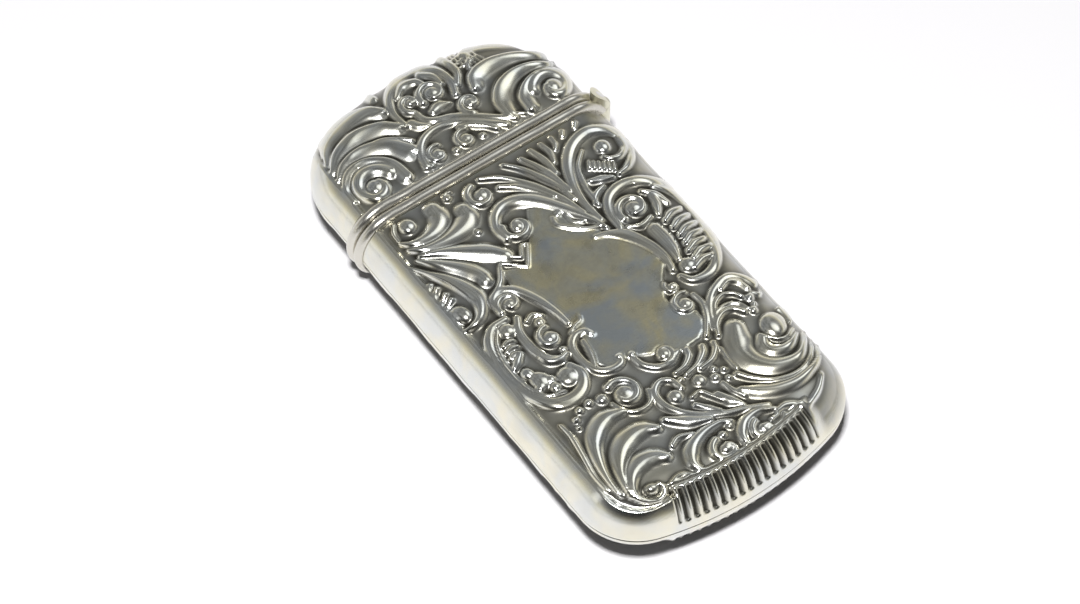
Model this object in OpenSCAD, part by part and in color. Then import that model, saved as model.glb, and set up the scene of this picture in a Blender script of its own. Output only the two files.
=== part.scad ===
// Vesta case (pocket match safe): two struck halves for the body and two for
// the lid, bead rims at the joint, an inner collar, and a side hinge whose lid
// knuckle has a square heel that snaps over a leaf spring.
// Millimetres. +Y runs from the striker end to the lid, +X is the hinge side,
// +Z is the front. The case lies on its back on the plane z = 0.

/* [Case] */
// Width across the smooth sides
case_w = 34.5; // [30:0.5:42]
// Joint line to the striker end
body_l = 52.5; // [44:0.5:64]
// Joint line to the top of the lid
lid_l = 17.5; // [15:0.5:24]
// Thickness over the crests of the relief
case_t = 10.2; // [9.4:0.1:12]
// Wall from the inside of the sheet to the crests of the relief
wall = 0.95; // [0.8:0.05:1.2]

/* [Ends] */
// Centre of the striker end's bow to the centre of each of its corners
foot_swing = 35; // [30:1:38]
// Centre of the lid's bow to the centre of each of its corners
lid_swing = 25; // [22:1:34]

/* [Striker] */
// Number of ribs struck in each half
rib_count = 17; // [9:2:21]
// Rib pitch along the bow
rib_pitch = 1.15; // [0.9:0.05:1.3]
// Radius of the groove between two ribs
rib_groove_r = 0.32; // [0.2:0.02:0.4]
// Angle above the seam where the ribs begin
rib_from = 10; // [6:1:20]
// Angle above the seam where the ribs end
rib_to = 56; // [40:1:70]

/* [Ornament] */
// Height of the struck scrolls above their ground
relief_h = 0.5; // [0.35:0.05:0.6]

/* [Cartouche] */
// Depth of the plain panel below the crests
panel_depth = 0.35; // [0.2:0.05:0.5]
// Radius of the wide part of the panel
panel_r = 7; // [5:0.25:8]
// Centre of the wide part, below the joint line
panel_drop = 22.5; // [20:0.5:26]

/* [Rims] */
// Height of each bead along the case
rim_h = 1.4; // [1.3:0.05:1.8]
// How far the beads stand out from the smooth sides
bead_proud = 0.6; // [0.4:0.05:0.8]
// Gap between the two beads when shut
joint_gap = 0.1; // [0.06:0.02:0.2]

/* [Collar] */
// Sheet thickness of the inner collar
collar_t = 0.35; // [0.25:0.05:0.5]
// Running gap between collar and wall
collar_gap = 0.2; // [0.15:0.05:0.3]
// How far the collar stands up into the lid
collar_up = 1.8; // [1:0.1:2.4]
// How far the collar reaches down into the body
collar_down = 5; // [3:0.5:8]

/* [Hinge] */
// Outer radius of the knuckles
knuckle_r = 1.2; // [1:0.05:1.25]
// Length of the lid knuckle between the two body knuckles
lid_knuckle_l = 4; // [3:0.1:5]
// Hinge axis inside the smooth side
hinge_inset = 0.05; // [0:0.05:0.2]
// Hinge pin radius
pin_r = 0.5; // [0.4:0.05:0.6]
// Radial clearance of the pin
pin_clear = 0.03; // [0.02:0.01:0.06]
// End play beside the lid knuckle
knuckle_play = 0.1; // [0.05:0.05:0.2]
// Clearance of the lid rim round the body knuckles
knuckle_clear = 0.15; // [0.1:0.05:0.25]
// Solder film between a soldered piece and its seat
solder = 0.03; // [0.02:0.01:0.05]

/* [Snap] */
// Distance of the heel flats from the hinge axis
heel = 1.3; // [1.2:0.02:1.32]
// Leaf spring thickness
spring_t = 0.3; // [0.2:0.05:0.4]
// Leaf spring width
spring_w = 3; // [2.4:0.1:3.2]
// Joint line to the lower end of the spring
spring_l = 17; // [14:0.5:20]
// Length of the riveted foot
foot_l = 6; // [5:0.5:8]
// Gap between the spring and the heel flat
spring_gap = 0.03; // [0.02:0.01:0.05]
// Rivet shank radius
rivet_r = 0.4; // [0.3:0.05:0.5]
// Rivet head radius
rivet_head_r = 0.7; // [0.6:0.05:0.9]
// Rivet head height
rivet_head_h = 0.25; // [0.2:0.05:0.35]

/* [Hidden] */
$fn = 96;
edge_r = case_t / 2;                              // round side of the case
inner_r = edge_r - wall;                          // round inside of the wall
ground_r = edge_r - relief_h;                     // round ground of the ornament
spine_x = case_w / 2 - edge_r;                    // edge of the flat face
mid_z = case_t / 2;                               // plane of the soldered seam
joint_y = (body_l - lid_l) / 2;                   // joint line, origin at half length
mouth = joint_gap / 2 + rim_h;                    // joint line to the struck sheet
bead_c = edge_r - rim_h / 2;                      // bead centre from the middle plane
bead_x = case_w / 2 + bead_proud - edge_r;        // straight part of the bead
hinge_x = case_w / 2 - hinge_inset;               // hinge axis
barrel_r = edge_r + knuckle_r - pin_r;            // contour the barrel ends are filed to
gap_w = lid_knuckle_l + 2 * knuckle_play;         // slot of the lid knuckle in the body rim
collar_slot = gap_w + knuckle_r;                  // slot of the collar at the hinge
spring_x = hinge_x - heel - spring_gap;           // outer face of the leaf
lap = 0.2;                                        // rounded edge into the flat face
turn_x = 0.28;                                    // a bow meets its corners on the
turn_y = 0.96;                                    // slope of a 7-24-25 triangle
reach = 60;                                       // longer than any piece it cuts
drawn = [34.5, 52.5, 17.5];                       // width, body and lid of the drawn ornament
silver = [0.78, 0.78, 0.76];
gilt = [0.85, 0.68, 0.32];
steel = [0.45, 0.48, 0.52];

// Outline of one end: its bow is centred on the middle line, and the two corners
// lie at the distance swing from that centre and touch the bow and the sides
function corner_x(swing) = turn_x * swing;
function corner_r(swing) = case_w / 2 - corner_x(swing);
function bow_r(swing) = corner_r(swing) + swing;
function bow_y(l, swing) = l - bow_r(swing);
function corner_y(l, swing) = bow_y(l, swing) + turn_y * swing;

// Section of the case across its length, with round sides of radius r
module section(x, r) {
    square([2 * x, 2 * r], center = true);
    for (s = [-1, 1]) translate([s * x, 0]) circle(r);
}

// Quarter of a rounded wall between two radii, swept along the edge of the flat
// face, with a lap that runs into the face
module edge_profile(from, to) {
    translate([-lap, from]) square([lap, to - from]);
    intersection() {
        difference() {
            circle(to);
            circle(from);
        }
        square(edge_r);
    }
}

// Wedges that the corners and the bow of an end fill, seen from their centres
module corner_wedge() polygon(reach * [[0, 0], [1, 0], [1, 1], [turn_x, turn_y]]);
module bow_wedge() polygon(reach * [[0, 0], [turn_x, turn_y], [-turn_x, turn_y]]);

// Rounded edge round an arc of the outline, r its outer radius, inside a wedge
module edge_arc(r, from, to) intersection() {
    rotate_extrude() translate([r - edge_r, 0]) edge_profile(from, to);
    linear_extrude(reach) children();
}

// Flat face of one half, inside the rounded edge
module face_plan(l, swing) {
    cx = corner_x(swing);
    cy = corner_y(l, swing);
    by = bow_y(l, swing);
    bow = bow_r(swing) - edge_r;
    meet = [turn_x * bow, by + turn_y * bow];
    polygon([[-spine_x, mouth], [spine_x, mouth], [spine_x, cy], [cx, cy], meet,
        [-meet.x, meet.y], [-cx, cy], [-spine_x, cy]]);
    for (m = [0, 1]) mirror([m, 0]) translate([cx, cy]) intersection() {
        circle(corner_r(swing) - edge_r);
        corner_wedge();
    }
    intersection() {
        translate([0, by]) circle(bow);
        translate([-meet.x, meet.y]) square([2 * meet.x, bow]);
    }
}

// Sheet of one half between two radii of its round edge: joint at y = 0, closed
// end towards +y, seam on z = 0
module sheet(l, swing, from, to) {
    cy = corner_y(l, swing);
    translate([0, 0, from]) linear_extrude(to - from) face_plan(l, swing);
    for (m = [0, 1]) mirror([m, 0, 0]) {
        translate([spine_x, cy, 0]) rotate([90, 0, 0]) linear_extrude(cy - mouth) edge_profile(from, to);
        translate([corner_x(swing), cy, 0]) edge_arc(corner_r(swing), from, to) corner_wedge();
    }
    translate([0, bow_y(l, swing), 0]) edge_arc(bow_r(swing), from, to) bow_wedge();
}

// Place of a drawn point of the ornament, in the frame of the joint
function spot(p) = [p.x * case_w / drawn[0],
    p.y * (p.y < 0 ? body_l / drawn[1] : lid_l / drawn[2])];

// Centre of the circle through three points
function centre_of(a, b, c) = let (d = 2 * (a.x * (b.y - c.y) + b.x * (c.y - a.y) + c.x * (a.y - b.y)))
    [a * a * (b.y - c.y) + b * b * (c.y - a.y) + c * c * (a.y - b.y),
     a * a * (c.x - b.x) + b * b * (a.x - c.x) + c * c * (b.x - a.x)] / d;

function heading(v) = atan2(v.y, v.x);
function turn(from, to) = (to - from + 720) % 360;

// Scroll band of half width w that runs from one drawn point through a second to a third
module scroll(from, through, to, w) {
    a = spot(from);
    b = spot(through);
    c = spot(to);
    o = centre_of(a, b, c);
    r = norm(a - o);
    start = heading(a - o);
    whole = turn(start, heading(c - o));
    sweep = turn(start, heading(b - o)) < whole ? whole : whole - 360;
    intersection() {
        translate(o) difference() {
            circle(r + w);
            circle(r - w);
        }
        polygon([o, for (t = [0 : 0.125 : 1])
            o + 2 * (r + w) * [cos(start + t * sweep), sin(start + t * sweep)]]);
    }
    for (tip = [a, c]) translate(tip) circle(0.9 * w);
}

// Domed eye or lump of base radius r at a drawn point
module boss(p, r) {
    rise = relief_h - solder;
    ball = (r * r + rise * rise) / (2 * rise);
    q = spot(p);
    translate([q.x, q.y, edge_r - solder - ball]) rotate([0, 90, 0]) sphere(ball, $fn = 48);
}

// Grooves between the striker ribs, round the edge of the striker end
module striker_grooves() {
    bow = bow_r(foot_swing);
    translate([0, bow_y(body_l, foot_swing), 0]) for (i = [0 : rib_count])
        rotate([0, 0, 90 + (i - rib_count / 2) * rib_pitch / bow * 180 / PI])
            translate([bow - edge_r, 0, 0]) rotate([90, 0, 0]) rotate([0, 0, rib_from])
                rotate_extrude(angle = rib_to - rib_from)
                    translate([edge_r, 0]) circle(rib_groove_r, $fn = 24);
}

// Plain panel of the cartouche, pointed at the top and rounded at the foot
module panel_plan() translate([0, panel_drop]) scale(panel_r) {
    translate([0.2, 0]) circle(1);
    translate([0.18, 0.92]) circle(0.72);
    translate([-0.2, -0.28]) circle(0.62);
    translate([-0.04, -1.14]) circle(0.5);
    polygon([[-0.52, -1], [0.36, -1.36], [1, -0.56], [-0.72, 0]]);
}

// Field of the ornament on the body; outside it the sides are smooth
module body_field() {
    half = 15.2 * case_w / drawn[0];
    turn_r = half - corner_x(foot_swing) + 0.1;
    end = body_l - 2.6;
    translate([-half, -end + turn_r]) square([2 * half, end]);
    translate([turn_r - half, -end]) square([2 * (half - turn_r), end]);
    for (s = [-1, 1]) translate([s * (half - turn_r), -end + turn_r]) circle(turn_r);
}

// Main scrolls of the body, as they lie in plan
module body_scrolls() {
    // Large scroll and strap to the left of the cartouche
    scroll([-11.6, -20.4], [-15.3, -27], [-9, -33], 0.75);
    scroll([-9.2, -20.8], [-10.3, -24.6], [-8.6, -28.2], 0.5);
    scroll([-10.6, -18.4], [-8.9, -16.8], [-7.2, -18], 0.5);
    scroll([-7.2, -18], [-5.9, -21], [-5.2, -24.8], 0.5);
    scroll([-4.2, -27.2], [-5.4, -26.5], [-6.7, -27.8], 0.45);
    scroll([-6.7, -27.8], [-6.9, -30], [-5.6, -32.3], 0.45);
    // Crown and right side of the cartouche
    scroll([-4.1, -11.2], [-2.6, -7.6], [0.6, -7.8], 0.65);
    scroll([0.6, -7.8], [3.6, -11.2], [6, -16.6], 0.65);
    scroll([4.6, -17.2], [7.9, -20.2], [8.6, -25.4], 0.65);
    scroll([-2.1, -32.4], [-0.9, -35.1], [2.2, -34.8], 0.45);
    // Scrolls on the hinge side
    scroll([6.2, -14.8], [7.4, -7.2], [12, -4.2], 0.65);
    scroll([12, -4.2], [14.3, -5.2], [14.8, -8], 0.55);
    scroll([7.3, -17.2], [10.2, -12.6], [14.8, -15.2], 0.6);
    scroll([15, -19], [13.8, -26.4], [8.9, -27.4], 0.65);
    scroll([7.4, -33.8], [10.8, -30.2], [15, -31], 0.55);
    scroll([8.4, -34.4], [10.9, -31.8], [12.8, -33.2], 0.45);
    scroll([8.5, -29.8], [8.2, -32], [6.4, -34.8], 0.4);
    for (p = [[13.2, -18.9], [13.5, -20.4], [13.5, -21.9], [13.2, -23.4], [12.6, -24.8]])
        scroll(p + [1.1, 0], p + [-0.1, 0.3], p + [-1.4, -0.4], 0.5);
    // Leaves at the top left and over the cartouche
    scroll([-14.4, -6.2], [-9.6, -7.1], [-5.2, -4.8], 0.7);
    scroll([-13.8, -7.8], [-9, -9.2], [-5, -13], 0.9);
    scroll([-14.2, -9], [-10.8, -11.2], [-8.4, -14.6], 0.7);
    scroll([-14.8, -10], [-12.8, -12.6], [-11.2, -16.2], 0.6);
    scroll([-1, -2.8], [2.4, -6], [4.8, -11.6], 0.5);
    scroll([2.6, -2.8], [5, -6], [5.6, -10], 0.45);
    // Shell at the lower left
    scroll([-14.7, -44.2], [-12.9, -37.8], [-8.6, -36.7], 0.8);
    scroll([-14.2, -46], [-11.8, -39.9], [-6.9, -39.9], 0.9);
    scroll([-13.6, -47], [-10.8, -42.1], [-6.1, -43.2], 1);
    scroll([-12.6, -48], [-11, -44.9], [-7.2, -46.2], 0.8);
    // Leaves under the cartouche
    scroll([0.4, -37], [2, -36.7], [3.3, -35.4], 0.4);
    scroll([1.2, -38.1], [3.4, -37.6], [5.2, -36.1], 0.4);
    // Stem and arches over the striker
    scroll([-0.2, -38.6], [-2.6, -37.4], [-2.4, -41.2], 0.45);
    scroll([-2.4, -41.2], [0.6, -43.8], [6, -46.2], 0.45);
    scroll([-4.9, -48.6], [-3.6, -45.8], [0.4, -45.6], 0.6);
    scroll([1.4, -48.6], [3.2, -46.6], [6.6, -47.6], 0.5);
    // Shell on the hinge side
    scroll([15, -44.4], [11.4, -45.4], [5.9, -41.6], 1.1);
    scroll([15, -42.2], [11.8, -43.1], [8.4, -40.6], 0.85);
    scroll([15, -40.4], [12.2, -41.2], [9.8, -39], 0.6);
}

// Eyes of the scrolls, and lumps between them
module body_bosses() {
    for (p = [[-8.6, -3.9], [-9.3, -30.4], [-5.7, -35.8], [9, -36.6], [13, -38]]) boss(p, 1.4);
    for (p = [[-12.4, -3.6], [-2.9, -4.6], [-2.1, -10.6], [10.1, -16.1], [10.4, -26]]) boss(p, 1.2);
    for (p = [[6.9, -30.2], [12, -7.4], [10.2, -20.3], [-1.4, -39.4], [-12.2, -29]]) boss(p, 1);
    for (p = [[-8.9, -19], [-7.9, -25.1], [-11.4, -22], [-12.9, -25.8], [0.9, -34.2], [7.1, -27.5]])
        boss(p, 0.8);
    for (p = [[-10.2, -47.6], [-0.8, -47.8], [3.9, -48.2]]) boss(p, 0.9);
}

// Sheet of a half at the level of the ground, with the raised forms on it
module relief_half(l, swing) {
    sheet(l, swing, inner_r, ground_r);
    intersection() {
        sheet(l, swing, ground_r - lap, edge_r);
        children();
    }
}

module body_half() mirror([0, 1, 0]) difference() {
    union() {
        relief_half(body_l, foot_swing) mirror([0, 1, 0]) {
            linear_extrude(reach) {
                body_scrolls();
                difference() {
                    square(4 * reach, center = true);
                    body_field();
                }
            }
            body_bosses();
        }
        translate([0, 0, inner_r]) linear_extrude(wall - panel_depth) panel_plan();
    }
    striker_grooves();
}

// Field of the ornament on the lid
module lid_field() {
    half = 15.3 * case_w / drawn[0];
    turn_r = half - corner_x(lid_swing) + 0.1;
    end = lid_l - 1.5;
    translate([-half, 0]) square([2 * half, end - turn_r]);
    translate([turn_r - half, 0]) square([2 * (half - turn_r), end]);
    for (s = [-1, 1]) translate([s * (half - turn_r), end - turn_r]) circle(turn_r);
}

// Main scrolls of the lid, as they lie in plan
module lid_scrolls() {
    // Shell on the left
    scroll([-14.6, 9], [-11.4, 13.2], [-5.9, 13], 0.8);
    scroll([-15, 7.4], [-11, 10.7], [-5.5, 9.4], 0.75);
    scroll([-15, 5.6], [-11, 8.5], [-6, 6], 0.75);
    scroll([-15.1, 3.4], [-12, 6.6], [-8.4, 3], 0.6);
    // Shell on the hinge side
    scroll([7, 12.6], [9.4, 13], [14, 10.8], 0.8);
    scroll([6, 9.2], [8.6, 11], [14.4, 9.4], 0.6);
    scroll([6, 5.9], [8.6, 8.9], [14.8, 8], 0.55);
    scroll([6.8, 3.2], [9.2, 6.7], [14.9, 6.6], 0.75);
    scroll([9.5, 2.8], [12, 5.5], [15, 4.6], 0.55);
    // Scroll and arch in the middle
    scroll([-4.1, 9.4], [-0.6, 14.9], [3.6, 10.6], 0.65);
    scroll([-2.2, 8.8], [0.6, 6.9], [6, 3.4], 0.45);
    scroll([4.2, 15], [5.2, 12.8], [4.7, 10.4], 0.45);
    scroll([-5.4, 2.8], [-1.4, 6.3], [4.6, 3], 0.5);
}

// Eyes of the lid's scrolls
module lid_bosses() {
    for (p = [[-11.6, 3.6], [11.8, 3.8]]) boss(p, 1.2);
    for (p = [[1, 10.9], [-1.8, 10.9], [3.8, 7.2], [-3.4, 3.2], [0.5, 3.2]]) boss(p, 0.9);
}

module lid_half() relief_half(lid_l, lid_swing) {
    linear_extrude(reach) {
        lid_scrolls();
        difference() {
            square(4 * reach, center = true);
            lid_field();
        }
    }
    lid_bosses();
}

// Places a half on the part: the seam on the middle plane, the joint on its line
module at_joint() translate([0, joint_y, mid_z]) children();

// Bead rim of one half: joint at y = 0, growing towards +y
module bead_ring() {
    difference() {
        translate([0, joint_gap / 2, 0]) {
            translate([-bead_x, 0, 0]) rotate([90, 0, 90]) linear_extrude(2 * bead_x) {
                translate([0, -bead_c]) square([rim_h, 2 * bead_c]);
                for (s = [-1, 1]) translate([rim_h / 2, s * bead_c]) circle(rim_h / 2);
            }
            for (m = [0, 1]) mirror([m, 0, 0])
                translate([bead_x, 0, 0]) rotate([-90, 0, 0]) rotate([0, 0, -90])
                    rotate_extrude(angle = 180) {
                        square([bead_c, rim_h]);
                        intersection() {
                            translate([bead_c, rim_h / 2]) circle(rim_h / 2);
                            square([bead_c + rim_h, rim_h]);
                        }
                    }
        }
        rotate([90, 0, 0]) linear_extrude(reach, center = true) section(spine_x, inner_r);
    }
}

// Round seat or clearance along the hinge axis, between two heights
module hinge_round(r, z0, z1) translate([hinge_x, 0, z0]) cylinder(r = r, h = z1 - z0);

// Body rim, cut right through for the lid knuckle and its heel
module body_rim() color(silver) at_joint() difference() {
    mirror([0, 1, 0]) bead_ring();
    hinge_round(knuckle_r + solder, -reach, reach);
    translate([hinge_x - 2.5 * knuckle_r, -reach / 2, -gap_w / 2]) cube([reach, reach, gap_w]);
}

// Lid rim, grooved as the seat of its knuckle and clear of the body knuckles
module lid_rim() color(silver) at_joint() difference() {
    bead_ring();
    hinge_round(knuckle_r + solder, -gap_w / 2, gap_w / 2);
    hinge_round(knuckle_r + knuckle_clear, gap_w / 2 - knuckle_play, reach);
    hinge_round(knuckle_r + knuckle_clear, -reach, knuckle_play - gap_w / 2);
}

module body_front() color(silver) at_joint() body_half();
module body_back() color(silver) at_joint() rotate([0, 180, 0]) body_half();
module lid_front() color(silver) at_joint() lid_half();
module lid_back() color(silver) at_joint() rotate([0, 180, 0]) lid_half();

// Sleeve in the mouth, open at the hinge for the heel and the spring
module body_collar() color(gilt) at_joint() difference() {
    translate([0, collar_up, 0]) rotate([90, 0, 0])
        linear_extrude(collar_up + collar_down) difference() {
            section(spine_x, inner_r - collar_gap);
            section(spine_x, inner_r - collar_gap - collar_t);
        }
    translate([spine_x, -reach / 2, -collar_slot / 2]) cube([reach, reach, collar_slot]);
}

// Contour the ends of the barrel are filed to
module barrel_contour() translate([bead_x, reach / 2, 0]) rotate([90, 0, 0])
    cylinder(r = barrel_r, h = reach);

module pin_bore() hinge_round(pin_r + pin_clear, -reach, reach);

// Outer knuckle, soldered in the groove of the body rim
module outer_knuckle() difference() {
    intersection() {
        hinge_round(knuckle_r, gap_w / 2, edge_r + knuckle_r);
        barrel_contour();
    }
    pin_bore();
}

module body_knuckle_front() color(silver) at_joint() outer_knuckle();
module body_knuckle_back() color(silver) at_joint() mirror([0, 0, 1]) outer_knuckle();

// Pin through all three knuckles, filed flush with them
module hinge_pin() color(steel) at_joint() intersection() {
    hinge_round(pin_r, -edge_r, edge_r);
    barrel_contour();
}

// Middle knuckle with the square heel, soldered in the groove of the lid rim
module lid_knuckle() color(silver) at_joint() difference() {
    union() {
        hinge_round(knuckle_r, -lid_knuckle_l / 2, lid_knuckle_l / 2);
        translate([hinge_x - heel, -heel, -lid_knuckle_l / 2]) cube([heel, heel, lid_knuckle_l]);
    }
    pin_bore();
}

// Rivets stand one quarter and three quarters along the foot of the spring
module at_rivets() for (f = [0.25, 0.75])
    translate([spring_x, -spring_l + f * foot_l, 0]) rotate([0, 90, 0]) children();

// Leaf spring along the hinge side; its upper end bears on the heel
module lid_spring() color(steel) at_joint() difference() {
    translate([spring_x - spring_t, -spring_l, -spring_w / 2])
        cube([spring_t, spring_l - joint_gap, spring_w]);
    at_rivets() cylinder(r = rivet_r + solder, h = 4 * spring_t, center = true);
}

// Pad between the flat spring foot and the round wall
module spring_pad() color(silver) at_joint() difference() {
    intersection() {
        translate([spring_x, -spring_l, -spring_w / 2]) cube([wall, foot_l, spring_w]);
        translate([spine_x, 0, 0]) rotate([90, 0, 0])
            cylinder(r = inner_r - solder, h = reach, center = true);
    }
    at_rivets() cylinder(r = rivet_r + solder, h = reach, center = true);
}

// Two rivets, headed on the inside
module spring_rivets() color(steel) at_joint() at_rivets() {
    translate([0, 0, -spring_t]) cylinder(r = rivet_r, h = spring_t + inner_r - solder
        - (spring_x - spine_x) - solder);
    translate([0, 0, -spring_t - rivet_head_h]) cylinder(r = rivet_head_r, h = rivet_head_h);
}

body_front();
body_back();
body_rim();
body_collar();
body_knuckle_front();
body_knuckle_back();
hinge_pin();
spring_pad();
lid_spring();
spring_rivets();
lid_front();
lid_back();
lid_rim();
lid_knuckle();
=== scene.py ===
"""Looks of a vesta case: struck silver halves, hinge, spring and studio."""
import math

import bpy
import numpy as np
from mathutils import Matrix, Vector


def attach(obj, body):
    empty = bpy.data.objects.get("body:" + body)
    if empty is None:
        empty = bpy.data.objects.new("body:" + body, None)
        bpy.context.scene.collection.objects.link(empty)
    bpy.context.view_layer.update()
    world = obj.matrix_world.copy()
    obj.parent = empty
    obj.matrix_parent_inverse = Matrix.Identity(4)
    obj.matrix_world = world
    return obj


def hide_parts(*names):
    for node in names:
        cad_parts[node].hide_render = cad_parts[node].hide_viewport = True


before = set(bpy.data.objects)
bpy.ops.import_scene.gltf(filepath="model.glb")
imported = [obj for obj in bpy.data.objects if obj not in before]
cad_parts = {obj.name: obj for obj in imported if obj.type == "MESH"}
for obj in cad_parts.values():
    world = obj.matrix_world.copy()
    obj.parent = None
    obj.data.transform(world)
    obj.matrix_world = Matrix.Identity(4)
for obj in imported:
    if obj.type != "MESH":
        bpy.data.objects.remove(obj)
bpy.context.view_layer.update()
MM = 0.001

# Height map of the ornament, in millimetres of the plan, with the joint line at y 0
X0, X1, Y0, Y1 = -17.6, 17.6, -52.8, 17.8
CELL = 0.06
LAST_CELL = 1.001
TINY = 1e-12
# Steps along a stroke, and the cells beside it that are looked at, in units of its half width
STROKE_STEP = 0.12
STRETCH_POINTS = 3
REACH, FAR = 1.2, 9.0

# Sections of the strokes, as shares of their half width, radius or height
BAND_SWELL, LEAF_SWELL = 1.4, 1.08
BAND_RIM, BAND_RIM_SPREAD, BAND_RIM_FALL = 0.72, 0.22, 6
LEAF_ROUND = 0.9
COIL_POINTS, COIL_POINTS_MORE = 24, 8
COIL_WIDTH, COIL_TAPER = 0.52, (1.1, 1, 0.75)
EYE_SHARE, EYE_RISE = 0.7, 1.05
WELL_R, WELL_DEPTH, WELL_EDGE = 0.96, 0.85, 5

# Finish of the map: panel, mounds under the scrolls, and the shade that gathers in the hollows
PANEL_HEIGHT, PANEL_RANGE, PANEL_PASSES, PANEL_INSIDE = 0.25, 0.12, 6, 0.5
MOUND_SHARE, MOUND_PASSES = 0.4, 60
FINISH_PASSES, HOLLOW_PASSES = 2, 90
HOLLOW_SHADE, PANEL_SHADE = 4.2, 1.2
GROUND, GROUND_SHADE = 0.27, 1.8


def sample(field, x, y):
    """Value of a map at plan points, by bilinear interpolation."""
    fx = np.clip((x - X0) / CELL, 0, field.shape[1] - LAST_CELL)
    fy = np.clip((y - Y0) / CELL, 0, field.shape[0] - LAST_CELL)
    i, j = fx.astype(int), fy.astype(int)
    a, b = fx - i, fy - j
    return ((field[j, i] * (1 - a) + field[j, i + 1] * a) * (1 - b)
            + (field[j + 1, i] * (1 - a) + field[j + 1, i + 1] * a) * b)


def soften(field, passes):
    """Map with each cell averaged with its neighbours, again and again."""
    for _ in range(passes):
        for axis in (0, 1):
            field = 0.25 * np.roll(field, 1, axis) + 0.5 * field + 0.25 * np.roll(field, -1, axis)
    return field


def stroke(points, widths):
    """Evenly spaced points of a smooth curve through the given ones, and its half widths."""
    p = np.asarray(points, float)
    ext = np.vstack([2 * p[0] - p[1], p, 2 * p[-1] - p[-2]])
    out = []
    for i in range(len(p) - 1):
        a, b, c, d = ext[i:i + 4]
        n = max(int(np.hypot(*(c - b)) / STROKE_STEP), STRETCH_POINTS)
        t = np.linspace(0, 1, n, endpoint=False)[:, None]
        out.append(0.5 * (2 * b + (c - a) * t + (2 * a - 5 * b + 4 * c - d) * t ** 2
                          + (3 * b - a - 3 * c + d) * t ** 3))
    out = np.vstack(out + [p[-1:]])
    run = np.r_[0, np.cumsum(np.hypot(*np.diff(out, axis=0).T))]
    return out, np.interp(run / run[-1], np.linspace(0, 1, len(widths)), widths)


class Relief:
    """Height map that strokes are pressed into; heights are above the ground of the ornament."""

    def __init__(self):
        self.x = np.arange(X0, X1, CELL)
        self.y = np.arange(Y0, Y1, CELL)
        self.h = np.zeros((len(self.y), len(self.x)))

    def window(self, pts, pad):
        """Slices and coordinates of the cells within pad of the points."""
        lo, hi = pts.min(0) - pad, pts.max(0) + pad
        i0, i1 = np.searchsorted(self.x, [lo[0], hi[0]])
        j0, j1 = np.searchsorted(self.y, [lo[1], hi[1]])
        gx, gy = np.meshgrid(self.x[i0:i1], self.y[j0:j1])
        return (slice(j0, j1), slice(i0, i1)), gx, gy

    def nearness(self, pts, width):
        """Distance from a stroke in units of its half width, negative to the right of its run."""
        at, gx, gy = self.window(pts, width.max() * REACH + CELL)
        u = np.full(gx.shape, FAR)
        side = np.ones(gx.shape)
        run = np.gradient(pts, axis=0)
        for (px, py), (tx, ty), w in zip(pts, run, width):
            dx, dy = gx - px, gy - py
            d = np.hypot(dx, dy) / w
            near = d < u
            u[near] = d[near]
            side[near] = np.sign(tx * dy - ty * dx)[near]
        return at, u * side

    def raise_to(self, at, height):
        """Lifts the cells of a window that are lower than the given heights."""
        self.h[at] = np.maximum(self.h[at], height)

    def band(self, points, widths, height, dish=0.0):
        """Rounded ridge along a curve; dish hollows it between two raised edges."""
        pts, width = stroke(points, widths)
        at, u = self.nearness(pts, BAND_SWELL * width)
        u = np.abs(u)
        crown = np.clip(1 - u * u, 0, 1)
        rims = np.exp(-((u - BAND_RIM) / BAND_RIM_SPREAD) ** 2) * np.clip((1 - u) * BAND_RIM_FALL, 0, 1)
        self.raise_to(at, height * ((1 - dish) * crown + dish * rims))

    def lobe(self, points, widths, height, lean=0.4):
        """Leaf or flute with its crest off the middle, towards the left of its run."""
        pts, width = stroke(points, widths)
        at, u = self.nearness(pts, LEAF_SWELL * width)
        rise = np.where(u < lean, (u + 1) / (1 + lean), (1 - u) / (1 - lean))
        self.raise_to(at, height * np.sin(np.clip(rise, 0, 1) * np.pi / 2) ** LEAF_ROUND)

    def dome(self, x, y, r, height, tall=1.0, turn=0.0):
        """Round or oval boss."""
        at, gx, gy = self.window(np.array([[x, y]]), r * max(tall, 1) + CELL)
        c, s = np.cos(np.radians(turn)), np.sin(np.radians(turn))
        a, b = (gx - x) * c + (gy - y) * s, (gy - y) * c - (gx - x) * s
        u2 = (a / r) ** 2 + (b / (r * tall)) ** 2
        self.raise_to(at, height * np.sqrt(np.clip(1 - u2, 0, 1)))

    def volute(self, x, y, r, start, turns, height, eye):
        """Scroll that winds in from radius r to a ball; turns is negative clockwise."""
        t = np.linspace(0, 1, int(COIL_POINTS * abs(turns)) + COIL_POINTS_MORE)
        a = np.radians(start) + t * turns * 2 * np.pi
        rad = r + (eye * EYE_SHARE - r) * t
        width = COIL_WIDTH * (r - eye * EYE_SHARE) / max(abs(turns), 1)
        self.well(x, y, r * WELL_R)
        coil = np.c_[x + rad * np.cos(a), y + rad * np.sin(a)]
        self.lobe(coil, [width * share for share in COIL_TAPER], height, 0)
        self.dome(x, y, eye, height * EYE_RISE)

    def well(self, x, y, r):
        """Sinks what lies under a volute, so its coils read against the ground."""
        at, gx, gy = self.window(np.array([[x, y]]), r + CELL)
        u = np.hypot(gx - x, gy - y) / r
        self.h[at] *= 1 - WELL_DEPTH * np.clip((1 - u) * WELL_EDGE, 0, 1)


# Strokes of the ornament, each drawn over the plan of the case: points, half widths, height, and
# the dish of a band or the lean of a leaf


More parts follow.
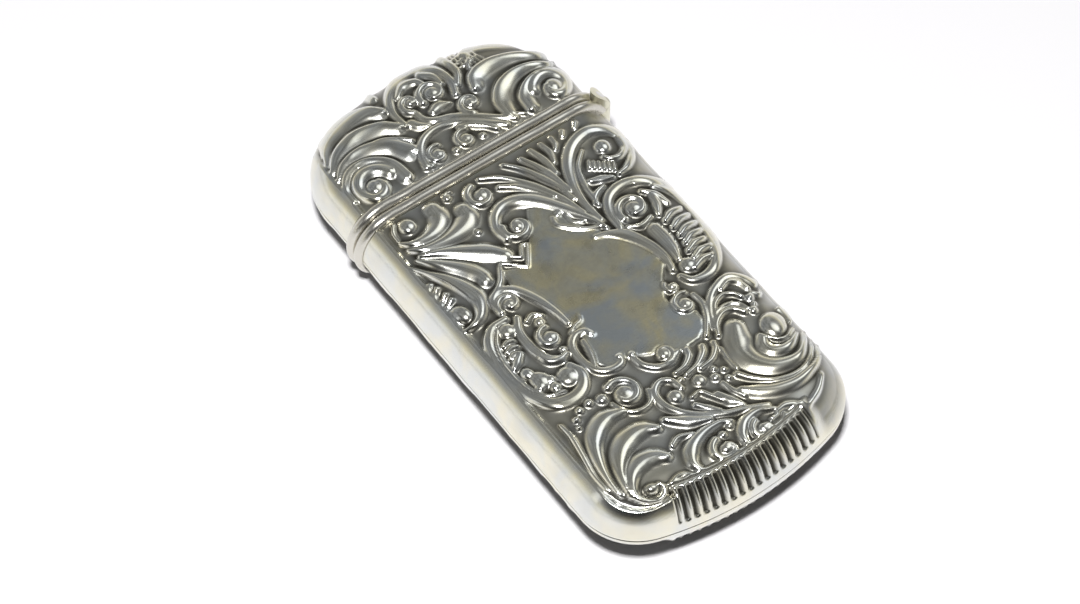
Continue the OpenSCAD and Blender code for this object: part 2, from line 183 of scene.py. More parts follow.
def lid_ornament(r):
    """Lid: a fan at each side, scrolls between them."""
    # Left fan, from the outer crescent in to the volute
    r.lobe([(-14.6, 10.6), (-12.6, 14.2), (-9.2, 15.9), (-6.2, 15.6), (-5.3, 14.4)], [0.5, 1.3, 0.7], 0.50)
    r.lobe([(-14.9, 9.2), (-13.2, 12.0), (-9.6, 13.3), (-6.9, 13.0), (-5.6, 11.9)], [0.5, 1.35, 1.0], 0.54)
    r.lobe([(-15.1, 7.8), (-13.0, 9.8), (-9.8, 10.6), (-6.8, 10.1), (-5.2, 8.9)], [0.5, 1.25, 1.0], 0.56)
    r.lobe([(-15.2, 6.4), (-13.2, 8.0), (-10.4, 8.4), (-7.6, 7.4), (-6.0, 5.4)], [0.4, 1.05, 1.35], 0.58)
    r.lobe([(-15.3, 3.0), (-15.0, 5.2), (-13.2, 6.8), (-10.8, 6.8), (-8.8, 5.2), (-8.3, 2.6)],
           [0.4, 0.75, 1.0], 0.58)
    r.volute(-12, 3.4, 2.75, 20, 1.01, 0.57, 1.18)
    r.band([(-10.2, 8.9), (-7.8, 8.6), (-6.0, 7.6), (-4.8, 6.5)], [0.22, 0.3, 0.3], 0.52)
    # Right fan, the same from the other side
    r.lobe([(7.2, 13.6), (8.8, 14.0), (11.2, 13.2), (13.4, 11.8), (15.2, 9.9)], [0.8, 1.15, 0.5], 0.54)
    r.lobe([(5.8, 8.7), (6.6, 10.0), (8.6, 10.5), (11.2, 10.1), (13.6, 9.0), (15.3, 7.6)],
           [0.9, 1.2, 1.1, 0.85, 0.6, 0.4], 0.57)
    r.lobe([(6.7, 3.2), (7.0, 5.2), (8.3, 6.9), (10.4, 7.7), (12.8, 7.4), (15.0, 6.3)],
           [0.95, 1.2, 1.15, 0.9, 0.7, 0.4], 0.58)
    r.lobe([(9.3, 2.5), (9.6, 4.2), (10.8, 5.5), (12.6, 6.0), (14.6, 5.2)],
           [0.95, 1.0, 0.75, 0.6, 0.4], 0.58)
    r.volute(13.2, 3.6, 2.6, 160, -1.01, 0.57, 1.18)
    # Middle scroll: outer arch, two curls and the stem that feeds them
    r.band([(-4.2, 8.6), (-4.3, 11.2), (-3.3, 13.6), (-1.2, 15.2), (1.2, 15.2), (3.2, 13.6), (3.8, 11.2),
            (3.2, 9.2)], [0.35, 0.75, 0.45], 0.50)
    r.band([(4.2, 15.8), (5.0, 13.8), (5.1, 11.8), (4.2, 10.2)], [0.45, 0.5, 0.35], 0.48)
    r.band([(-2.7, 12.6), (-1.3, 13.9), (0.3, 13.6), (0.9, 12.6)], [0.4, 0.6, 0.4], 0.46)
    r.band([(1.2, 14.2), (2.4, 13.0), (2.7, 11.4)], [0.4, 0.5, 0.3], 0.46)
    r.volute(-1.9, 11.1, 1.45, -110, -0.77, 0.52, 0.62)
    r.volute(1, 10.9, 1.75, 200, -0.89, 0.56, 1.06)
    r.band([(-2.3, 9.7), (-1.9, 8.2), (-0.8, 7.3), (0.8, 6.7), (2.6, 5.6), (4.6, 4.0), (6.8, 2.3)],
           [0.4, 0.5, 0.35], 0.54, 0.15)
    r.band([(-0.4, 8.6), (0.6, 8.9), (1.8, 8.5)], [0.5, 0.7, 0.3], 0.44)
    r.band([(-3.4, 8.6), (-2.9, 7.8), (-2.0, 7.2)], [0.6, 0.55, 0.3], 0.44)
    r.volute(3.8, 7.1, 1.5, 250, -0.83, 0.54, 0.84)
    # Arch over the two small volutes above the rim
    r.band([(-5.6, 2.4), (-5.0, 4.4), (-3.6, 5.9), (-1.6, 6.4), (0.6, 5.9), (2.6, 4.6), (4.4, 3.0),
            (5.4, 2.1)], [0.45, 0.42, 0.4], 0.54, 0.15)
    r.band([(0.6, 5.0), (2.2, 4.3), (3.4, 3.2), (4.1, 2.2)], [0.3, 0.5, 0.3], 0.48)
    r.volute(-3.5, 3.1, 1.35, 60, 0.83, 0.52, 0.84)
    r.volute(0.4, 3.1, 1.4, 60, 0.83, 0.52, 0.84)
    r.dome(-1.4, 2.4, 0.55, 0.40)
    r.dome(-5.0, 2.2, 0.5, 0.40)
    r.dome(2.3, 2.5, 0.5, 0.36)
    r.band([(6.2, 4.4), (6.8, 3.2), (8.0, 2.2)], [0.25, 0.3, 0.25], 0.40)
    # Lattice at the top right
    for k in range(5):
        r.band([(5.4 + 0.55 * k, 15.3), (6.6 + 0.55 * k, 11.8)], [0.13], 0.36)
        r.band([(5.0 + 0.1 * k, 12.0 + 0.8 * k), (8.2 - 0.1 * k, 12.6 + 0.8 * k)], [0.13], 0.36)
    r.band([(6.6, 11.5), (7.6, 13.2), (8.6, 15.0)], [0.22], 0.46)


def upper_ornament(r):
    """Body under the rim: balls and cups, plumes, and the fan at the left."""
    # Ball with a cup round it, and a plump comma below, at the top left
    r.lobe([(-8.5, -3.0), (-8.5, -4.2), (-9.4, -5.3), (-11.0, -5.9), (-13.0, -5.8), (-14.4, -5.0)],
           [1.2, 1.4, 1.2, 0.95, 0.7, 0.45], 0.60, 0)
    r.lobe([(-5.7, -5.1), (-5.8, -6.2), (-7.2, -7.1), (-9.6, -7.5), (-12.2, -7.2), (-14.2, -6.3)],
           [1.2, 1.45, 1.2, 0.95, 0.75, 0.4], 0.60, 0)
    r.dome(-12.2, -3.3, 1.15, 0.58)
    r.band([(-13.4, -2.2), (-14.2, -3.2), (-14.4, -4.6)], [0.2, 0.3, 0.25], 0.44)
    r.volute(-6.1, -2.7, 0.75, 40, 0.71, 0.48, 0.39)
    r.volute(-2.9, -4.6, 1.75, 100, 0.89, 0.56, 0.95)
    # Plumes that sweep down from the rim to the right of the cartouche
    r.band([(-1.8, -2.6), (0.2, -3.8), (1.8, -5.6), (3.2, -7.8), (4.4, -10.4), (5.2, -13.4)],
           [0.3, 0.55, 0.3], 0.52)
    r.band([(-0.6, -4.8), (1.0, -5.9), (2.4, -7.6), (3.6, -9.6)], [0.35, 0.55, 0.3], 0.50)
    r.band([(1.6, -2.5), (3.0, -4.2), (4.0, -6.2), (4.9, -8.6), (5.4, -11.2)], [0.3, 0.5, 0.25], 0.48)
    r.band([(3.8, -3.0), (4.7, -5.0), (5.4, -7.4), (5.7, -10.0)], [0.35, 0.5, 0.25], 0.50)
    r.band([(5.4, -2.6), (5.9, -4.6), (6.0, -7.0)], [0.35, 0.45, 0.25], 0.44)
    r.band([(6.9, -2.5), (7.1, -4.0), (6.7, -5.6)], [0.3, 0.35, 0.2], 0.40)
    r.band([(8.4, -2.4), (8.3, -3.4), (7.8, -4.2)], [0.3, 0.3, 0.2], 0.38)
    r.band([(10.0, -2.3), (9.6, -3.0)], [0.3, 0.25], 0.36)
    r.band([(12.0, -2.2), (11.4, -2.9)], [0.3, 0.25], 0.36)
    # Fan of leaves to the left of the cartouche; the last one curls round the ball on the edge
    r.lobe([(-13.6, -7.7), (-11.2, -8.6), (-8.6, -10.2), (-6.6, -11.7), (-5.5, -13.0)],
           [0.35, 0.75, 1.15, 1.35, 1.1], 0.60, 0.05)
    r.lobe([(-14.2, -8.0), (-12.2, -9.9), (-10.5, -11.8), (-9.4, -13.6), (-9.3, -14.6)],
           [0.35, 0.75, 1.1, 1.25, 1.0], 0.58, 0.05)
    r.lobe([(-15.4, -8.4), (-14.2, -10.2), (-12.7, -12.2), (-11.7, -14.3), (-11.4, -16.2), (-12.2, -17.9),
            (-13.6, -18.8), (-15.4, -19.1)], [0.3, 0.6, 0.95, 1.15, 1.2, 0.9, 0.65, 0.4], 0.58, 0)
    r.dome(-6.1, -8.6, 0.42, 0.40)
    # Husk and ball on the left edge
    for xa, ya, xb, yb in ((-15.6, -12.2, -15.0, -11.5), (-15.8, -13.6, -14.6, -12.3),
                           (-15.9, -14.9, -14.2, -13.5), (-15.8, -15.7, -14.0, -14.5)):
        r.band([(xa, ya), (xb, yb)], [0.22, 0.32], 0.44)
    r.dome(-14.5, -16.8, 1.35, 0.58)


def flatten_panel(r):
    """Plain panel of the cartouche, out to the middle of its frame."""
    edge = [(-1.6, -12.4), (0.2, -9.2), (2.6, -10.4), (3.0, -13.4), (5.8, -17.4), (8.0, -20.6), (8.3, -24.4),
            (6.4, -26.6), (5.6, -28.2), (5.4, -30.2), (6.3, -31.2), (7.4, -31.4), (7.3, -32.8), (6.6, -34.0),
            (5.4, -34.8), (2.6, -35.0), (0.4, -33.6), (-2.2, -32.4),
            (-5.0, -32.2), (-6.2, -30.2), (-5.0, -27.0), (-5.0, -24.4), (-5.6, -20.6), (-7.4, -17.2),
            (-7.0, -14.6), (-4.4, -15.6), (-2.6, -13.4)]
    at, gx, gy = r.window(np.array(edge), CELL)
    inside = np.zeros(gx.shape, bool)
    for (xa, ya), (xb, yb) in zip(edge, edge[1:] + edge[:1]):
        cross = (ya > gy) != (yb > gy)
        inside ^= cross & (gx < (xb - xa) * (gy - ya) / (yb - ya + TINY) + xa)
    r.h[at] = np.where(inside, PANEL_HEIGHT, r.h[at])
    r.panel = np.zeros(r.h.shape)
    r.panel[at] = inside


def panel_frame(r):
    """Scrolls round the panel, and the notched strap at its upper left."""
    # Sweeping band over the top and down the right side
    r.band([(-4.1, -11.4), (-4.2, -9.6), (-3.2, -7.9), (-1.6, -7.2), (0.4, -7.7), (2.2, -9.4), (3.8, -11.8),
            (5.2, -14.4), (6.0, -16.6)], [0.4, 0.7, 0.9, 0.7, 0.3], 0.60)
    r.volute(-2.1, -10.6, 1.75, 150, 0.89, 0.60, 0.90)
    r.band([(4.2, -16.9), (5.6, -17.4), (7.2, -18.8), (8.4, -21.2), (8.9, -23.6), (8.6, -25.6)],
           [0.3, 0.75, 0.6, 0.3], 0.58, 0.2)
    r.band([(1.8, -11.9), (1.6, -12.9), (2.4, -14.0), (3.8, -15.2), (5.4, -16.0)], [0.3, 0.4, 0.3], 0.50)
    r.band([(3.2, -12.4), (3.4, -13.6), (4.4, -14.4)], [0.25, 0.25, 0.2], 0.40)
    r.dome(2.6, -11.8, 0.55, 0.45)
    # Scrolls at the foot of the right side
    r.volute(7.1, -27.4, 0.95, 120, 0.77, 0.56, 0.56)
    r.volute(6.9, -30.2, 1.55, 60, 0.77, 0.58, 0.95)
    r.band([(8.4, -29.6), (8.5, -31.2), (7.6, -33.2), (6.2, -35.0)], [0.3, 0.35, 0.25], 0.50)
    # Left frame: volute and long strap, then a hook down to the foot
    r.volute(-9, -18.8, 1.5, 200, -0.83, 0.56, 0.84)
    r.band([(-10.5, -19.0), (-10.3, -17.4), (-8.9, -16.7), (-7.4, -17.6), (-6.2, -19.9), (-5.5, -22.4),
            (-5.2, -24.8)], [0.35, 0.5, 0.45, 0.25], 0.56, 0.15)
    r.band([(-9.8, -16.8), (-8.0, -15.7), (-6.9, -14.0)], [0.3, 0.35, 0.25], 0.48)
    r.band([(-4.0, -27.4), (-4.4, -26.6), (-5.6, -26.5), (-6.7, -27.6), (-6.9, -29.8), (-6.3, -31.6),
            (-5.0, -32.5), (-3.6, -32.4), (-3.2, -31.6)], [0.35, 0.42, 0.4, 0.35], 0.56, 0.2)
    r.band([(-5.3, -27.6), (-5.6, -29.4), (-6.2, -31.2)], [0.3, 0.4, 0.28], 0.46)
    r.band([(-5.8, -25.9), (-4.8, -25.4), (-4.0, -25.2), (-3.7, -24.6)], [0.18, 0.26, 0.18], 0.46)
    r.dome(-3.4, -31.6, 0.42, 0.55)
    r.dome(-4.1, -27.2, 0.42, 0.55)
    r.dome(-2.0, -32.2, 0.5, 0.55)
    r.band([(-2.1, -32.6), (-1.8, -34.0), (-0.6, -35.2), (1.0, -35.5), (2.3, -34.8)],
           [0.3, 0.4, 0.3], 0.54, 0.2)
    r.volute(0.9, -34.2, 1.2, 250, 0.71, 0.56, 0.90)
    # Notched strap
    for a, b in (((-6.7, -13.7), (-4.4, -15.8)), ((-4.4, -15.8), (-2.6, -13.2)),
                 ((-5.2, -13.6), (-4.2, -14.4)), ((-4.2, -14.4), (-3.2, -12.9)),
                 ((-3.2, -12.9), (-2.6, -13.2))):
        r.band([a, b], [0.2], 0.50)


def middle_ornament(r):
    """Both sides of the panel: C scrolls, husks and waves."""
    # Large C scroll on the left with its husk of lumps
    r.band([(-10.6, -20.2), (-12.6, -20.4), (-14.3, -22.0), (-15.1, -24.6), (-15.2, -27.4), (-14.6, -30.2),
            (-13.2, -32.2), (-11.0, -33.1), (-9.0, -32.6), (-7.9, -31.0), (-8.4, -29.4)],
           [0.4, 0.6, 0.6, 0.75, 0.45], 0.58, 0.15)
    r.band([(-12.2, -20.9), (-13.6, -23.0), (-14.2, -26.0), (-13.9, -29.2), (-12.8, -31.2), (-10.8, -31.8)],
           [0.2, 0.28, 0.25, 0.2], 0.46)
    r.dome(-9.3, -30.4, 1.35, 0.58)
    r.dome(-11.3, -21.6, 1.05, 0.56)
    for x, y, w in ((-12.3, -23.0, 0.75), (-12.4, -23.9, 0.8), (-12.6, -24.8, 0.8)):
        r.band([(x - w, y - 0.2), (x, y + 0.1), (x + w, y - 0.1)], [0.28, 0.4, 0.28], 0.52)
    r.lobe([(-13.8, -26.4), (-12.9, -25.7), (-12.0, -25.1)], [0.45, 0.7, 0.45], 0.54, 0)
    r.dome(-12.9, -27.6, 0.9, 0.54)
    r.dome(-12.2, -29.1, 1.25, 0.56, 1.1, 20)
    for x, y in ((-12.8, -29.9), (-11.2, -29.7), (-11.3, -30.8)):
        r.dome(x, y, 0.7, 0.54)
    # Inner chain of crescents between the C scroll and the strap
    r.band([(-9.4, -20.8), (-10.3, -22.6), (-10.4, -25.0), (-9.8, -27.2), (-8.6, -28.2)],
           [0.35, 0.5, 0.45], 0.54, 0.2)
    r.band([(-8.9, -21.9), (-7.8, -21.5), (-6.9, -22.2)], [0.25, 0.4, 0.25], 0.48)
    r.dome(-7.7, -22.7, 0.7, 0.52)
    r.volute(-7.9, -25.1, 1.55, 80, 0.77, 0.58, 0.95)
    r.lobe([(-10.4, -26.6), (-9.9, -27.6), (-8.9, -28.1), (-7.7, -27.9)], [0.4, 0.6, 0.6, 0.4], 0.54, 0)
    r.dome(-7.7, -27.2, 0.5, 0.46)
    # C scroll at the upper right, with its ribbing
    r.band([(6.2, -15.4), (6.0, -12.4), (6.5, -9.4), (7.8, -6.6), (9.8, -4.7), (12.2, -4.1), (14.2, -4.9),
            (15.3, -6.6), (15.0, -8.4)], [0.3, 0.5, 0.65, 0.65, 0.45], 0.58, 0.15)
    r.band([(7.2, -13.4), (7.5, -10.4), (8.4, -7.8), (10.2, -6.0)], [0.25, 0.35, 0.2], 0.46)
    r.dome(12.5, -6.9, 1.1, 0.57)
    r.band([(15.0, -7.0), (14.6, -8.6), (13.4, -9.2), (12.2, -8.9), (11.6, -8.2)],
           [0.4, 0.45, 0.4, 0.3], 0.54)
    for k in range(6):
        x, y = 9.9 + 0.44 * k, -7.7 - 0.38 * k
        r.band([(x, y), (x - 0.5, y - 0.9)], [0.18, 0.2], 0.50)
    r.band([(8.4, -10.2), (9.6, -10.6), (10.8, -11.2)], [0.4, 0.55, 0.3], 0.50)
    r.band([(7.0, -13.0), (7.9, -12.0), (9.2, -11.6)], [0.25, 0.4, 0.25], 0.46)
    r.band([(15.4, -8.0), (14.9, -9.6), (13.4, -10.8), (11.8, -11.2)], [0.4, 0.5, 0.3], 0.50)
    # Volute and ribbed husk on the right
    r.band([(7.3, -17.4), (7.6, -15.0), (8.8, -13.2), (10.8, -12.6), (13.0, -13.2), (14.8, -14.8),
            (15.9, -17.2)], [0.35, 0.55, 0.6, 0.5], 0.56, 0.15)
    r.band([(12.2, -14.6), (13.4, -16.0), (13.9, -17.8)], [0.3, 0.5, 0.3], 0.48)
    r.band([(13.9, -14.9), (15.2, -16.8), (15.6, -19.0)], [0.25, 0.4, 0.3], 0.46)
    r.volute(10.1, -16.1, 1.95, 200, -0.89, 0.60, 1.12)
    r.band([(8.0, -17.9), (9.4, -18.6), (11.0, -18.2)], [0.3, 0.4, 0.3], 0.50)
    r.lobe([(10.4, -19.8), (10.5, -21.2), (10.4, -23.0), (10.0, -24.8)], [1.0, 1.05, 0.9, 0.45], 0.56, 0)
    r.lobe([(12.9, -15.8), (12.7, -17.0), (11.9, -18.5)], [0.5, 0.7, 0.35], 0.48, 0)
    for x, y in ((13.3, -19.2), (13.5, -20.5), (13.5, -21.8), (13.3, -23.0), (12.9, -24.1),
                 (12.8, -25.3), (12.1, -26.4)):
        r.lobe([(x + 1.2, y), (x, y + 0.15), (x - 1.3, y - 0.35)], [0.5, 0.66, 0.5], 0.56, 0.15)
    r.dome(10.4, -26.0, 1.1, 0.56)
    r.band([(8.8, -26.8), (9.6, -28.0), (11.6, -28.3), (13.6, -27.2), (15.0, -25.0), (15.7, -22.0),
            (15.8, -19.4)], [0.35, 0.55, 0.6, 0.6, 0.4], 0.58, 0.15)
    # Waves below the right side
    r.band([(7.6, -34.6), (8.4, -32.8), (9.6, -31.2), (11.2, -30.2), (13.0, -29.9), (14.4, -31.0),
            (15.2, -32.6)], [0.3, 0.4, 0.45, 0.35], 0.54, 0.15)
    r.band([(11.3, -30.9), (12.6, -30.5), (13.6, -31.2), (14.0, -32.6)], [0.22, 0.32, 0.3], 0.50)
    r.band([(8.6, -33.4), (9.6, -32.1), (10.9, -31.6), (12.0, -32.1), (12.6, -33.0)],
           [0.22, 0.32, 0.3], 0.50)
    r.band([(8.0, -34.2), (9.2, -33.1), (10.6, -32.9), (11.7, -33.6), (12.2, -34.8)],
           [0.2, 0.26, 0.26], 0.48)
    r.band([(13.9, -33.2), (14.6, -34.0), (15.2, -33.6)], [0.2, 0.3, 0.2], 0.46)
    r.dome(13.4, -33.6, 0.6, 0.48)
    r.dome(13.2, -34.6, 0.45, 0.44)


def lower_ornament(r):
    """Body under the panel: shell, hooked stem, fan, and the scrolls over the striker."""
    # Shell at the bottom left, from the outer crescent in to the volute
    r.lobe([(-14.0, -35.3), (-13.9, -37.2), (-14.3, -39.5), (-14.9, -42.5), (-14.9, -45.2)],
           [0.35, 0.55, 0.5, 0.4, 0.3], 0.54, 0)
    r.lobe([(-7.4, -37.6), (-9.2, -37.3), (-11.0, -38.0), (-12.5, -39.6), (-13.5, -41.8), (-14.0, -44.2),
            (-14.1, -46.6)], [0.8, 1.25, 1.25, 1.05, 0.8, 0.55, 0.35], 0.58, 0.1)
    r.lobe([(-5.5, -41.6), (-6.8, -40.8), (-8.6, -40.8), (-10.4, -41.6), (-11.9, -43.4), (-12.8, -45.5),
            (-13.3, -47.4)], [0.7, 1.25, 1.4, 1.25, 0.9, 0.6, 0.35], 0.59, 0.1)
    r.lobe([(-6.9, -45.1), (-7.8, -44.4), (-9.4, -44.1), (-11.1, -44.7), (-12.3, -46.2), (-12.6, -47.7),
            (-12.0, -49.0)], [0.8, 1.25, 1.3, 1.05, 0.75, 0.55, 0.35], 0.59, 0.1)
    r.band([(-12.6, -46.6), (-12.8, -47.8), (-12.2, -48.8), (-11.1, -49.4), (-10.0, -49.1), (-9.5, -48.2),
            (-9.7, -47.5)], [0.5, 0.42, 0.4, 0.36, 0.25], 0.58)
    r.dome(-10.7, -47.7, 0.9, 0.58)
    # Lumps and boss along the top of the shell
    for x, y, size in ((-12.4, -36.6, 0.35), (-12.0, -35.6, 0.5), (-11.0, -34.8, 0.55),
                       (-9.6, -34.6, 0.6), (-8.1, -35.0, 0.75)):
        r.dome(x, y, size, 0.48)
    r.volute(-5.7, -35.9, 2, 120, -0.83, 0.56, 1.23)
    r.band([(-7.6, -36.2), (-7.0, -37.8), (-5.6, -38.7), (-4.0, -38.4), (-3.3, -37.0)],
           [0.25, 0.35, 0.25], 0.46)
    # Middle: hooked stem with leaves
    r.band([(-0.2, -38.9), (-0.6, -37.4), (-1.8, -36.9), (-3.0, -37.8), (-3.1, -39.6), (-2.2, -41.4),
            (-0.6, -43.0), (1.6, -44.3), (4.0, -45.2), (6.2, -46.2)], [0.3, 0.42, 0.4, 0.3], 0.56, 0.15)
    r.dome(-1.4, -39.4, 0.95, 0.54)
    r.lobe([(-4.2, -41.2), (-3.0, -42.2), (-1.6, -43.2), (-0.1, -44.1)], [0.55, 0.95, 0.4], 0.56, 0)
    r.band([(-5.6, -44.4), (-4.4, -43.9), (-2.8, -44.4)], [0.25, 0.4, 0.25], 0.46)
    r.band([(-0.3, -41.6), (0.6, -42.8), (1.6, -44.0)], [0.35, 0.5, 0.3], 0.50)
    r.band([(0.0, -40.6), (1.1, -40.5), (1.8, -41.6), (2.4, -42.8)], [0.25, 0.36, 0.25], 0.48)
    r.lobe([(2.5, -41.9), (3.1, -43.2), (4.0, -44.6)], [0.6, 0.85, 0.35], 0.54, 0)
    r.band([(3.9, -41.0), (4.2, -42.4), (4.8, -43.8)], [0.3, 0.4, 0.25], 0.44)
    r.dome(2.0, -39.2, 0.85, 0.44)
    r.dome(3.7, -39.9, 0.6, 0.42)
    for x, y in ((4.2, -38.9), (5.1, -39.6), (4.9, -40.8), (0.4, -38.0)):
        r.dome(x, y, 0.45, 0.42)
    # Curls under the cartouche
    r.band([(0.4, -37.0), (1.8, -36.8), (3.0, -36.0), (3.3, -35.2)], [0.25, 0.35, 0.4], 0.48)
    r.band([(1.2, -37.9), (3.0, -37.5), (4.5, -36.6), (5.0, -35.8)], [0.25, 0.35, 0.4], 0.48)
    r.band([(3.0, -38.1), (4.8, -37.8), (6.0, -36.9), (6.3, -36.1)], [0.25, 0.35, 0.35], 0.46)
    # Fan at the right: a knob that runs out into a broad ring, the core, and a ring on each side
    r.lobe([(9.4, -35.9), (8.7, -37.2), (8.0, -38.9), (8.4, -40.8), (9.8, -42.4), (11.8, -43.1),
            (13.4, -42.9), (14.6, -42.1), (15.3, -41.3)],
           [1.3, 1.7, 1.65, 1.5, 1.3, 1.0, 0.8, 0.6, 0.4], 0.60, 0.1)
    r.lobe([(11.0, -38.8), (10.5, -39.7), (10.8, -40.7), (12.0, -41.3), (13.4, -41.2), (14.6, -40.7)],
           [0.8, 1.05, 1.0, 0.75, 0.6, 0.4], 0.58, 0.1)
    r.band([(11.0, -38.3), (11.7, -39.2), (12.4, -40.0), (13.5, -40.3), (14.7, -39.9)], [0.26], 0.52)
    r.dome(13.3, -38.0, 1.7, 0.60)
    r.band([(15.2, -36.8), (15.4, -38.0), (15.2, -39.0)], [0.25, 0.32, 0.25], 0.50)
    r.band([(5.9, -41.0), (6.9, -42.4), (8.6, -43.9), (10.6, -44.6), (12.6, -44.5), (14.3, -43.7),
            (15.3, -42.7)], [0.42, 0.32, 0.28, 0.25], 0.50)
    r.lobe([(5.0, -43.0), (6.2, -44.0), (8.2, -45.1), (10.6, -45.6), (13.0, -45.3), (14.6, -44.7),
            (15.4, -43.6)], [0.7, 1.0, 0.95, 0.85, 0.7, 0.5, 0.4], 0.58, 0.1)
    r.band([(6.5, -37.2), (6.2, -38.9), (6.3, -40.4)], [0.2], 0.44)
    r.band([(7.3, -35.7), (8.1, -34.4), (9.4, -33.6), (10.8, -33.8), (11.6, -34.8)],
           [0.25, 0.35, 0.4], 0.52)
    r.dome(12.6, -35.2, 0.6, 0.46)
    # Scrolls above the striker
    r.band([(-4.9, -49.2), (-5.0, -47.4), (-3.9, -45.8), (-1.9, -45.0), (0.4, -45.0), (1.6, -45.6)],
           [0.45, 0.8, 0.55, 0.3], 0.56)
    r.volute(-1, -48.2, 1.7, 100, 0.89, 0.58, 0.90)
    r.dome(-0.2, -46.4, 0.55, 0.46)
    r.dome(1.1, -45.9, 0.5, 0.42)
    r.band([(1.2, -49.2), (1.6, -47.6), (2.8, -46.4), (4.8, -46.2), (6.4, -47.0)],
           [0.4, 0.65, 0.5, 0.3], 0.54)
    r.volute(4, -48.5, 1.45, 100, 0.83, 0.56, 0.84)
    r.band([(-8.4, -48.2), (-7.2, -48.0), (-6.2, -48.6), (-6.8, -49.2)], [0.25, 0.4, 0.3], 0.46)
    r.band([(-8.8, -49.4), (-7.8, -49.0)], [0.3, 0.3], 0.42)
    r.lobe([(6.4, -47.5), (7.6, -47.4), (8.8, -48.1), (9.6, -49.0)], [0.4, 0.75, 0.65, 0.3], 0.50, 0)
    r.band([(5.4, -48.0), (6.2, -47.9)], [0.3, 0.25], 0.46)
    r.band([(6.3, -49.1), (6.9, -48.3)], [0.25, 0.3], 0.46)
    r.band([(8.8, -49.4), (10.2, -48.9), (12.0, -48.0), (13.6, -46.6)], [0.35, 0.45, 0.3], 0.44)


def press_ornament():
    """The whole front: its heights, its panel and the shade in its hollows."""
    r = Relief()
    lid_ornament(r)
    upper_ornament(r)
    flatten_panel(r)
    panel_frame(r)
    middle_ornament(r)
    lower_ornament(r)
    r.h = np.maximum(r.h, MOUND_SHARE * soften(r.h, MOUND_PASSES))
    r.h = soften(r.h, FINISH_PASSES)
    r.panel = soften(r.panel, PANEL_PASSES) * (np.abs(r.h - PANEL_HEIGHT) < PANEL_RANGE)
    # Painted shade: the hollows and the low ground of the ornament are darkened in the colour, partly
    # standing for the oxide of old silver; the panel darkens towards its frame
    hollow = soften(r.h, HOLLOW_PASSES) - r.h
    ground = hollow * HOLLOW_SHADE + (GROUND - r.h) * GROUND_SHADE
    r.shade = np.clip(np.where(r.panel > PANEL_INSIDE, hollow * PANEL_SHADE, ground), 0, 1)
    return r


# Case, in millimetres of the frame; v is the distance from the joint line
LENGTH, WIDTH, THICK = 70.0, 34.5, 10.2
LID_L = 17.5
SHEET = 0.95
MOUTH = 1.45
EDGE_R = MID_Z = THICK / 2
INNER_R = EDGE_R - SHEET
JOINT_Y = LENGTH / 2 - LID_L
SEAM_SINK, SEAM_WIDTH = 0.06, 0.2
SPACING, BACK_SPACING, INNER_SPACING = 0.16, 0.2, 0.9
LEAST_STEPS = 6

# Relief on the sheet: crests, slide of the pattern with each millimetre that the edge falls, and fade
RELIEF = 0.6
SLIDE_X, SLIDE_Y = 0.41, 0.58
FADE_GAIN, FADE_START = 2.6, 0.25
FACE_TURN = 1.5
# The left side and the lower left corner are smooth outside this rounded line
SMOOTH_X, SMOOTH_Y, SMOOTH_R, SMOOTH_SOFT = -11.2, -45.8, 4.4, 0.5
# Striker: its run along the foot, its place on the round edge in degrees from the seam, its grooves
FOOT_HALF, FOOT_SOFT, FOOT_FACING = 11.4, 1.2, 0.7
STRIKER_HALF, STRIKER_PITCH, STRIKER_DEPTH = 9.75, 1.15, 0.42
STRIKER_LOW, STRIKER_HIGH, STRIKER_SOFT = 14, 64, 4
STRIKER_SHADE, STRIKER_CLEAR = 1.4, 0.15
HEAD_AT, HEAD_SPREAD, HEAD_DEPTH = 67, 2.5, 0.6
BARE_BELOW, BARE_LEFT, BARE_SOFT = 74, -9.4, 0.6


class End:
    """Outline of one closed end: two corners and the shallow bow that runs into them."""

    def __init__(self, length, corner_r, bow_r):
        self.corner_r, self.bow_r = corner_r, bow_r
        self.corner_x = WIDTH / 2 - corner_r
        self.bow_v = length - bow_r
        self.meet = math.asin(self.corner_x / (bow_r - corner_r))
        self.corner_v = self.bow_v + (bow_r - corner_r) * math.cos(self.meet)

    def half_rows(self, step):
        """Points and outward normals of the edge of the face, from the side to the middle line."""
        corner, bow = self.corner_r - EDGE_R, self.bow_r - EDGE_R
        turn = math.pi / 2 - self.meet
        a = np.linspace(0, turn, max(int(corner * turn / step), LEAST_STEPS), endpoint=False)
        b = np.linspace(self.meet, 0, max(int(bow * math.sin(self.meet) / step), LEAST_STEPS) + 1)
        pts = np.vstack([
            np.c_[self.corner_x + corner * np.cos(a), self.corner_v + corner * np.sin(a)],
            np.c_[bow * np.sin(b), self.bow_v + bow * np.cos(b)]])
        return pts, np.vstack([np.c_[np.cos(a), np.sin(a)], np.c_[np.sin(b), np.cos(b)]])

    def rows(self, step):
        """The whole edge, from left to right."""
        pts, nor = self.half_rows(step)
        flip = np.array([-1, 1])
        return np.vstack([pts * flip, pts[-2::-1]]), np.vstack([nor * flip, nor[-2::-1]])


FOOT = End(length=LENGTH - LID_L, corner_r=7.45, bow_r=42.45)
CROWN = End(length=LID_L, corner_r=10.25, bow_r=35.25)


